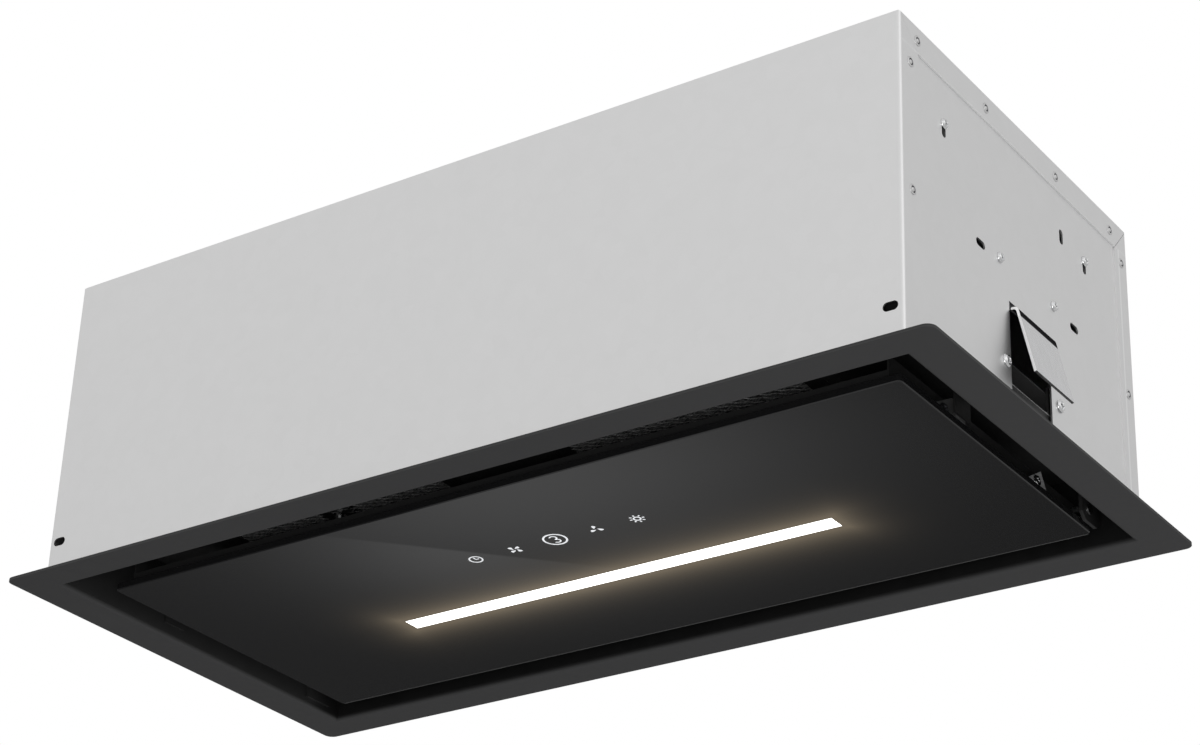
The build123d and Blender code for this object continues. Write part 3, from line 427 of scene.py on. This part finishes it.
def make_black_coat():
    """Matt black powder coat, with painted shade inside the flange and a painted highlight at the
    collar's notch.
    """
    material, shader = new_material("black_coat", (0.050, 0.050, 0.051), 0.55)
    tree = material.node_tree
    shader.inputs["Specular IOR Level"].default_value = 0.3
    clouds = noise(tree, 120)
    tree.links.new(spread(tree, clouds, 0.50, 0.60), shader.inputs["Roughness"])
    full = tint(tree, spread(tree, clouds, 0, 1), (0.042, 0.042, 0.043), (0.048, 0.048, 0.049))
    x, y, z = place_parts(tree)
    # Painted shade: the coat darkens above the flange's underside, most towards the back
    inside = spread(tree, z, 0, 1, 0, coat_height)
    behind = spread(tree, y, 0, 1, *dim_back_y)
    shaded_coat = tint(tree, behind, (0.023, 0.023, 0.023), (0.006, 0.006, 0.006))
    coat = tint(tree, inside, full, shaded_coat)
    # Painted highlight on the collar's notch edge
    from_notch = size_of(tree, minus(tree, z, notch_height))
    outer = spread(tree, size_of(tree, x), 0, 1, *collar_side)
    notch_highlight = times(tree, spread(tree, from_notch, 1, 0, 0, notch_highlight_width), outer)
    tree.links.new(tint(tree, notch_highlight, coat, (0.45, 0.45, 0.45)), shader.inputs["Base Color"])
    bump(tree, shader, noise(tree, 1400, 2), 0.00001)
    return material


def make_filter_rail():
    """Black anodised rail with a drawn grain."""
    material, shader = new_material("filter_rail", (0.03, 0.03, 0.03), 0.4, 0.4)
    tree = material.node_tree
    grain = noise(tree, 500, 3, (0.05, 1, 1))
    tree.links.new(spread(tree, grain, 0.32, 0.5), shader.inputs["Roughness"])
    bump(tree, shader, grain, 0.000008)
    return material


def make_filter_mesh():
    """Dark strands that catch a little light, with duller ones between."""
    material, shader = new_material("filter_mesh", (0.08, 0.08, 0.08), 0.4, 0.3)
    tree = material.node_tree
    vary(tree, shader, (0.28, 0.55), (0.07, 0.07, 0.07), (0.36, 0.36, 0.36), 700)
    bump(tree, shader, noise(tree, 1800, 2), 0.00006)
    return material


def make_black_glass():
    """Glossy black glass with painted highlights along its edges, and a painted warm glow of the light
    bar beside the bar.
    """
    material, shader = new_material("black_glass", (0.006, 0.006, 0.0065), 0.04)
    tree = material.node_tree
    light_low, light_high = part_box("light_diffuser")
    glass_low, glass_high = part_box("glass_panel")
    x, y, z = place_parts(tree)
    # Painted glow of the light bar, fading with the distance from it
    aside = outside(tree, x, light_low.x, light_high.x)
    ahead = outside(tree, y, light_low.y, light_high.y)
    squares = plus(tree, maths(tree, "POWER", aside, 2.0), maths(tree, "POWER", ahead, 2.0))
    distance = maths(tree, "SQRT", squares)
    fade = maths(tree, "EXPONENT", times(tree, distance, -1 / glow_reach))
    shader.inputs["Emission Color"].default_value = (*glow_colour, 1)
    tree.links.new(times(tree, fade, glow_strength), shader.inputs["Emission Strength"])
    # Painted highlight along the side and back edges of the underside
    beside = outside(tree, x, glass_low.x + side_edge, glass_high.x - side_edge)
    side = spread(tree, beside, 0, side_share, 0, side_edge * edge_soft)
    back_y = glass_high.y - back_glint_width
    back = spread(tree, y, 0, 1, back_y, back_y + back_glint_width * edge_soft)
    mirror = spread(tree, z, 1, 0, glass_low.z + mirror_depth[0], glass_low.z + mirror_depth[1])
    edge_glint = times(tree, maths(tree, "MAXIMUM", side, back), mirror)
    tree.links.new(spread(tree, noise(tree, 25), 0.003, 0.008), shader.inputs["Roughness"])
    face = tint(tree, edge_glint, (0.006, 0.006, 0.0065), (0.085, 0.085, 0.085))
    tree.links.new(tint(tree, mirror, (0.012, 0.012, 0.0125), face), shader.inputs["Base Color"])
    return material


def make_opal():
    """The lit bar, a little dimmer between its light chips."""
    material, shader = new_material("opal", (0.95, 0.94, 0.90), 0.3)
    tree = material.node_tree
    shader.inputs["Emission Color"].default_value = (1.0, 0.985, 0.95, 1)
    tree.links.new(spread(tree, noise(tree, 30), 2.2, 2.8), shader.inputs["Emission Strength"])
    return material


def make_symbol_ink():
    """Backlit white of the touch symbols."""
    material, shader = new_material("symbol_ink", (0.75, 0.76, 0.77), 0.4)
    tree = material.node_tree
    shader.inputs["Emission Color"].default_value = (0.93, 0.96, 1.0, 1)
    tree.links.new(spread(tree, noise(tree, 400), 0.42, 0.60), shader.inputs["Emission Strength"])
    return material


def make_circuit_board():
    """Green lacquer over copper tracks."""
    material, shader = new_material("circuit_board", (0.01, 0.08, 0.04), 0.35)
    tree = material.node_tree
    tracks = tree.nodes.new("ShaderNodeTexBrick")
    tracks.inputs["Scale"].default_value = 160
    tracks.inputs["Mortar Size"].default_value = 0.06
    tracks.inputs["Color1"].default_value = (0.010, 0.085, 0.040, 1)
    tracks.inputs["Color2"].default_value = (0.012, 0.100, 0.048, 1)
    tracks.inputs["Mortar"].default_value = (0.030, 0.170, 0.080, 1)
    tree.links.new(place_vector(tree), tracks.inputs["Vector"])
    tree.links.new(tracks.outputs["Color"], shader.inputs["Base Color"])
    return material


def moulded(name, dark, light, roughness):
    """A fine-grained moulding."""
    material, shader = new_material(name, light, roughness)
    tree = material.node_tree
    vary(tree, shader, (roughness - 0.06, roughness + 0.06), dark, light, 80)
    bump(tree, shader, noise(tree, 2200, 2), 0.00003)
    return material


def make_motor_steel():
    """Turned steel, its grain running round the axis."""
    material, shader = new_material("motor_steel", (0.55, 0.55, 0.57), 0.35, 1.0)
    tree = material.node_tree
    grain = noise(tree, 300, 3, (1, 0.03, 0.03))
    tree.links.new(spread(tree, grain, 0.26, 0.46), shader.inputs["Roughness"])
    bump(tree, shader, grain, 0.00001)
    return material


# Pieces in mesh code

def add_piece(name, work, body, material):
    """A finished mesh as a piece that moves with a CAD body."""
    bmesh.ops.recalc_face_normals(work, faces=work.faces)
    mesh = bpy.data.meshes.new(name)
    work.to_mesh(mesh)
    work.free()
    mesh.materials.append(material)
    piece = bpy.data.objects.new(name, mesh)
    bpy.context.scene.collection.objects.link(piece)
    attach(piece, body)
    return piece


def separate_solids(node):
    """The corner places of each separate solid of a CAD node, always in the same order."""
    work = bmesh.new()
    work.from_mesh(nodes[node].data)
    bmesh.ops.remove_doubles(work, verts=work.verts, dist=same_place)
    left = set(work.verts)
    groups = []
    for first in work.verts:
        if first not in left:
            continue
        left.remove(first)
        group = []
        waiting = [first]
        while waiting:
            corner = waiting.pop()
            group.append(corner.co.copy())
            for link in corner.link_edges:
                other = link.other_vert(corner)
                if other in left:
                    left.remove(other)
                    waiting.append(other)
        groups.append(group)
    work.free()
    along = Vector(count_along)
    return sorted(groups, key=lambda group: sum(group, Vector()).dot(along) / len(group))


def head_frame(corners, middle, up):
    """Where a head sits: its turn and place, its radius and its height."""
    heights = [corner.dot(up) for corner in corners]
    seat = middle + up * (min(heights) - middle.dot(up))
    radius = max(((corner - seat) - up * (corner - seat).dot(up)).length for corner in corners)
    place = Matrix.Translation(seat) @ up.to_track_quat("Z", "Y").to_matrix().to_4x4()
    return place, radius, max(heights) - min(heights)


def smooth_step(value, low, high):
    """0 below low, 1 above high and a soft step between."""
    share = min(max((value - low) / (high - low), 0.0), 1.0)
    return share * share * (3 - 2 * share)


def pan_head(x, y):
    """A pan head with a cross recess: its height at a place, and whether that place takes painted shade.
    """
    rim = math.hypot(x, y)
    dome = (1 - pan_crown * rim * rim) * (1 - pan_rim_drop * smooth_step(rim, *pan_rim))
    short, far = sorted((abs(x), abs(y)))
    inside = 1 - smooth_step(short, *recess_width)
    inside *= 1 - smooth_step(far, *recess_reach)
    return dome - recess_depth * inside, inside > 0.5


def rivet_head(x, y):
    """A blind rivet: a flat rim, a groove in painted shade and the broken pin standing in it."""
    rim = math.hypot(x, y)
    dome = rivet_height - rivet_rim_drop * smooth_step(rim, *rivet_rim)
    hole = rivet_hole_depth * (1 - smooth_step(rim, *rivet_hole))
    pin = rivet_pin_height * (1 - smooth_step(rim, *rivet_pin))
    return dome - hole + pin, rivet_pin[1] < rim < rivet_hole[1]


def add_head(work, place, radius, height, shape, turn):
    """A round head, closed at its seat. Its shape function takes places in a circle of radius 1."""
    turned = Matrix.Rotation(turn, 3, "Z")
    angles = [2 * math.pi * spoke / head_spokes for spoke in range(head_spokes)]
    top = []
    for ring in range(1, head_rings + 1):
        share = ring / head_rings
        row = []
        for angle in angles:
            x, y = share * math.cos(angle), share * math.sin(angle)
            spot = turned @ Vector((x * radius, y * radius, shape(x, y)[0] * height))
            row.append(work.verts.new(place @ spot))
        top.append(row)
    middle = work.verts.new(place @ Vector((0, 0, shape(0, 0)[0] * height)))
    base = []
    for angle in angles:
        spot = Vector((radius * math.cos(turn + angle), radius * math.sin(turn + angle), 0))
        base.append(work.verts.new(place @ spot))
    for spoke in range(head_spokes):
        after = (spoke + 1) % head_spokes
        work.faces.new((middle, top[0][spoke], top[0][after]))
        angle = 2 * math.pi * (spoke + 0.5) / head_spokes
        for ring, (inner, outer) in enumerate(zip(top, top[1:]), start=1):
            share = (ring + 0.5) / head_rings
            face = work.faces.new((inner[spoke], outer[spoke], outer[after], inner[after]))
            dark = shape(share * math.cos(angle), share * math.sin(angle))[1]
            # Faces in a recess or groove take the second material, painted shade
            face.material_index = int(dark)
        work.faces.new((top[-1][spoke], base[spoke], base[after], top[-1][after]))
    work.faces.new(base)


def make_heads(node, body, slot, shape, up=None, size=1.0, dark_front=False):
    """Detailed heads in place of a CAD node's plain ones, with painted shade in their recesses.

    They point along up, or else out of the nearer end of the hood. Where dark_front is set, those in
    the hood's front half are dark with painted shade all over.
    """
    work = bmesh.new()
    for count, corners in enumerate(separate_solids(node)):
        middle = sum(corners, Vector()) / len(corners)
        outward = up or Vector((math.copysign(1, middle.x), 0, 0))
        place, radius, height = head_frame(corners, middle, outward)
        start = len(work.faces)
        add_head(work, place, radius * size, height, shape, first_turn + next_turn * count)
        # Painted shade over the whole of each head in the hood's front half
        if dark_front and middle.y < 0:
            work.faces.ensure_lookup_table()
            for face in work.faces[start:]:
                face.material_index = 1
    for face in work.faces:
        face.smooth = True
    piece = add_piece(node + "_detail", work, body, materials[slot])
    # Second material: the painted shade
    piece.data.materials.append(painted_shade_steel)
    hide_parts(node)


def make_expanded_mesh(side):
    """Expanded metal over a filter's opening: one diamond cell repeated, each edge a strand."""
    low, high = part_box(f"filter_frame_{side}")
    pad_low, pad_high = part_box(f"filter_mesh_{side}")
    left, right = low.x + mesh_rail, high.x - mesh_rail
    middle_y = (pad_low.y + pad_high.y) / 2
    reach_y = (pad_high.y - pad_low.y) / 2 - mesh_end
    mesh_z = pad_low.z - mesh_drop
    columns = round((right - left) / mesh_cell_x)
    rows = round(2 * reach_y / mesh_cell_y)
    step_x = (right - left) / columns
    step_y = 2 * reach_y / rows
    work = bmesh.new()
    corners = {}

    def corner(column, row):
        """A corner of the cells, on a grid of half steps."""
        if (column, row) not in corners:
            tilt = mesh_strand if row % 2 else 0.0
            x = left + column * step_x / 2
            y = middle_y - reach_y + row * step_y / 2
            corners[(column, row)] = work.verts.new((x, y, mesh_z - tilt))
        return corners[(column, row)]

    for row in range(1, 2 * rows):
        for column in range(1 + row % 2, 2 * columns, 2):
            cell = ((column - 1, row), (column, row - 1), (column + 1, row), (column, row + 1))
            work.faces.new([corner(*place) for place in cell])
    screen = add_piece(f"filter_screen_{side}", work, "casing", materials["filter_mesh"])
    strands = screen.modifiers.new("strands", "WIREFRAME")
    strands.thickness = mesh_strand
    strands.use_boundary = True


# Touch symbols: flat closed shapes, seen from below with the hood's front upwards

def add_plate(work, outline, hole=None):
    """A thin plate from an outline of (x, y) places, or a band between two outlines of equal length."""
    glass_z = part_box("glass_panel")[0].z
    heights = (glass_z - symbol_proud, glass_z - symbol_proud + symbol_thick)
    layers = [[work.verts.new((x, y, z)) for x, y in outline] for z in heights]
    if hole:
        inner = [[work.verts.new((x, y, z)) for x, y in hole] for z in heights]
    for place in range(len(outline)):
        after = (place + 1) % len(outline)
        work.faces.new((layers[0][place], layers[0][after], layers[1][after], layers[1][place]))
        if hole:
            work.faces.new((inner[0][place], inner[1][place], inner[1][after], inner[0][after]))
            for outer_row, inner_row in zip(layers, inner):
                work.faces.new((outer_row[place], outer_row[after], inner_row[after], inner_row[place]))
    if not hole:
        for layer in layers:
            work.faces.new(layer)


def circle(x, y, radius, start=0, end=360, steps=circle_steps):
    """Places round a circle, or along an arc of one with both its ends."""
    count = steps if end - start == 360 else steps + 1
    places = []
    for step in range(count):
        angle = math.radians(start + (end - start) * step / steps)
        places.append((x + radius * math.cos(angle), y + radius * math.sin(angle)))
    return places


def add_ring(work, x, y, radius, line):
    """A round line."""
    add_plate(work, circle(x, y, radius), circle(x, y, radius - line))


def add_arc(work, x, y, radius, line, start, end):
    """Part of a round line."""
    outer = circle(x, y, radius, start, end, arc_steps)
    inner = circle(x, y, radius - line, start, end, arc_steps)
    add_plate(work, outer + inner[::-1])


def add_bar(work, start, end, line):
    """A straight line of the given width."""
    start, end = Vector(start), Vector(end)
    along = (end - start).normalized() * line / 2
    across = Vector((-along.y, along.x))
    corners = (start - across, end - across, end + across, start + across)
    add_plate(work, [tuple(corner) for corner in corners])


def add_blade(work, x, y, angle):
    """One curved blade of a fan symbol, between its leading and its trailing edge."""
    lead, trail = [], []
    for step in range(blade_steps + 1):
        share = step / blade_steps
        reach = fan_r * (blade_root + (1 - blade_root) * share)
        swing = angle + blade_sweep * share
        width = blade_width * math.sin(math.pi * share) ** blade_fullness + blade_least
        for edge, degrees in ((lead, swing), (trail, swing + width)):
            turn = math.radians(degrees)
            edge.append((x + reach * math.cos(turn), y + reach * math.sin(turn)))
    trail.reverse()
    add_plate(work, lead + trail[:-1])


def make_touch_symbols():
    """Clock, four-blade fan, ringed 3, three-blade fan and lamp."""
    light_low, light_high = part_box("light_diffuser")
    middle_x = (light_low.x + light_high.x) / 2
    y = (light_low.y + light_high.y) / 2 - symbol_ahead
    places = [middle_x + symbol_pitch * place for place in range(-2, 3)]
    clock_x, four_blade_x, ringed_x, three_blade_x, lamp_x = places
    work = bmesh.new()
    add_ring(work, clock_x, y, clock_r, symbol_line)
    add_bar(work, (clock_x, y), (clock_x, y - minute_hand), hand_line)
    add_bar(work, (clock_x, y), (clock_x + hour_hand, y), hand_line)
    for blade in range(4):
        add_blade(work, four_blade_x, y, 90 * blade + fan_turn)
    add_ring(work, ringed_x, y, ring_r, ring_line)
    for side, start, end in bowls:
        add_arc(work, ringed_x, y + side * bowl_r, bowl_r + symbol_line / 2, symbol_line, start, end)
    for blade in range(3):
        add_blade(work, three_blade_x, y, 120 * blade)
    add_ring(work, lamp_x, y, lamp_r, symbol_line)
    for ray in range(ray_count):
        turn = 2 * math.pi * ray / ray_count
        start = (lamp_x + ray_start * math.cos(turn), y + ray_start * math.sin(turn))
        end = (lamp_x + ray_end * math.cos(turn), y + ray_end * math.sin(turn))
        add_bar(work, start, end, symbol_line)
    add_piece("touch_symbols", work, "panel", make_symbol_ink())


# Stage and light

def make_floor():
    """Plain pale floor, well below the hood because the photograph looks up at it."""
    bpy.ops.mesh.primitive_plane_add(size=floor_size, location=(0, 0, floor_z))
    floor = bpy.context.object
    floor.name = "floor"
    material, shader = new_material("floor", (0.8, 0.8, 0.8), 0.8)
    tree = material.node_tree
    vary(tree, shader, (0.7, 0.85), (0.78, 0.78, 0.78), (0.82, 0.82, 0.82), 3)
    floor.data.materials.append(material)


def make_fill_light():
    """A soft box that the camera doesn't see."""
    data = bpy.data.lights.new("fill_light", "AREA")
    data.shape = "RECTANGLE"
    data.size = fill_size
    data.size_y = fill_size
    data.energy = fill_power
    light = bpy.data.objects.new("fill_light", data)
    bpy.context.scene.collection.objects.link(light)
    light.location = fill_place
    light.visible_camera = False
    aim(light, fill_aim)


def bell(tree, value, middle, reach):
    """The power of a bell curve: the squared distance from its middle, in reaches."""
    share = times(tree, minus(tree, value, middle), 1 / reach)
    return times(tree, share, share)


def glow_spot(tree, x, y, strength, spot_x, spot_y):
    """A soft light that fades from its middle along X and Y."""
    power = plus(tree, bell(tree, x, *spot_x), bell(tree, y, *spot_y))
    return times(tree, maths(tree, "EXPONENT", times(tree, power, -1)), strength)


def make_soft_lights(tree, sky_x, sky_y, sky_z):
    """Light from below: a wide glow, a wedge of light, and one for the hood's right-hand end.

    A direction's x and y are the place on the glass where the camera sees it mirrored.
    """
    depth = maths(tree, "MAXIMUM", times(tree, sky_z, -1), flattest_view)
    to_glass = -camera_place[2]
    along_x = times(tree, maths(tree, "DIVIDE", sky_x, depth), to_glass)
    along_y = times(tree, maths(tree, "DIVIDE", sky_y, depth), to_glass)
    x = plus(tree, along_x, camera_place[0])
    y = plus(tree, along_y, camera_place[1])
    wide = glow_spot(tree, x, y, front_glow, front_glow_x, front_glow_y)
    wedge = glow_spot(tree, x, y, wedge_glow, wedge_glow_x, wedge_glow_y)
    past_edge = plus(tree, times(tree, x, wedge_normal[0]), times(tree, y, wedge_normal[1]))
    cut = spread(tree, minus(tree, past_edge, wedge_distance), 1, 0, -wedge_soft, wedge_soft)
    level = plus(tree, times(tree, wedge, cut), plus(tree, wide, sky_below))
    right = spread(tree, x, 0, side_glow, *side_glow_x)
    return maths(tree, "MAXIMUM", right, level)


def make_world():
    """White behind the hood for the camera; its light is brighter above, in front and on the right."""
    world = bpy.data.worlds.new("studio")
    bpy.context.scene.world = world
    world.use_nodes = True
    tree = world.node_tree
    tree.nodes.clear()
    out = tree.nodes.new("ShaderNodeOutputWorld")
    mix = tree.nodes.new("ShaderNodeMixShader")
    path = tree.nodes.new("ShaderNodeLightPath")
    seen = tree.nodes.new("ShaderNodeBackground")
    lit = tree.nodes.new("ShaderNodeBackground")
    place = tree.nodes.new("ShaderNodeTexCoord")
    split = tree.nodes.new("ShaderNodeSeparateXYZ")
    link = tree.links.new
    link(place.outputs["Generated"], split.inputs[0])
    x, y, z = split.outputs["X"], split.outputs["Y"], split.outputs["Z"]
    front = spread(tree, y, sky_front, sky_back, *sky_depth_y)
    upper = plus(tree, front, spread(tree, x, 0, right_glow, *right_glow_x))
    below = make_soft_lights(tree, x, y, z)
    above = spread(tree, z, 0, 1, *sky_turn_z)
    level = plus(tree, times(tree, minus(tree, upper, below), above), below)
    seen.inputs["Color"].default_value = (1, 1, 1, 1)
    link(level, lit.inputs["Strength"])
    link(path.outputs["Is Camera Ray"], mix.inputs[0])
    link(lit.outputs[0], mix.inputs[1])
    link(seen.outputs[0], mix.inputs[2])
    link(mix.outputs[0], out.inputs[0])


materials = {
    "galvanised": make_galvanised(),
    "grey_zinc": make_grey_zinc(),
    "zinc": make_zinc(),
    "rivet_steel": make_rivet_steel(),
    "spring_steel": make_spring_steel(),
    "black_coat": make_black_coat(),
    "filter_rail": make_filter_rail(),
    "filter_mesh": make_filter_mesh(),
    "black_glass": make_black_glass(),
    "opal": make_opal(),
    "circuit_board": make_circuit_board(),
    "catch_plastic": moulded("catch_plastic", (0.10, 0.10, 0.10), (0.13, 0.13, 0.13), 0.45),
    "black_plastic": moulded("black_plastic", (0.024, 0.024, 0.025), (0.032, 0.032, 0.033), 0.42),
    "grey_plastic": moulded("grey_plastic", (0.36, 0.36, 0.37), (0.42, 0.42, 0.43), 0.45),
    "motor_steel": make_motor_steel(),
    "mount_rubber": moulded("mount_rubber", (0.018, 0.018, 0.018), (0.028, 0.028, 0.028), 0.8),
}
painted_shade_steel = make_painted_shade_steel()
for subpart in frame["record"]["subparts"]:
    obj = nodes[subpart["node"]]
    obj.data.materials.clear()
    obj.data.materials.append(materials[subpart["material_slot"]])
# The clips' feet take the painted shade material
for node in ("clip_base_left", "clip_base_right"):
    nodes[node].data.materials[0] = painted_shade_steel

make_heads("casing_rivets", "casing", "rivet_steel", rivet_head)
for node in ("frame_screws", "clip_screws", "bracket_screws"):
    make_heads(node, "casing", "zinc", pan_head, size=screw_size)
make_heads("scroll_screws", "casing", "zinc", pan_head, up=Vector((0, 0, 1)))
make_heads("panel_screws", "panel", "zinc", pan_head, dark_front=True)
for side in ("left", "right"):
    make_expanded_mesh(side)
make_touch_symbols()

make_camera()
make_world()
make_floor()
make_fill_light()
bpy.context.scene.view_settings.view_transform = "Standard"
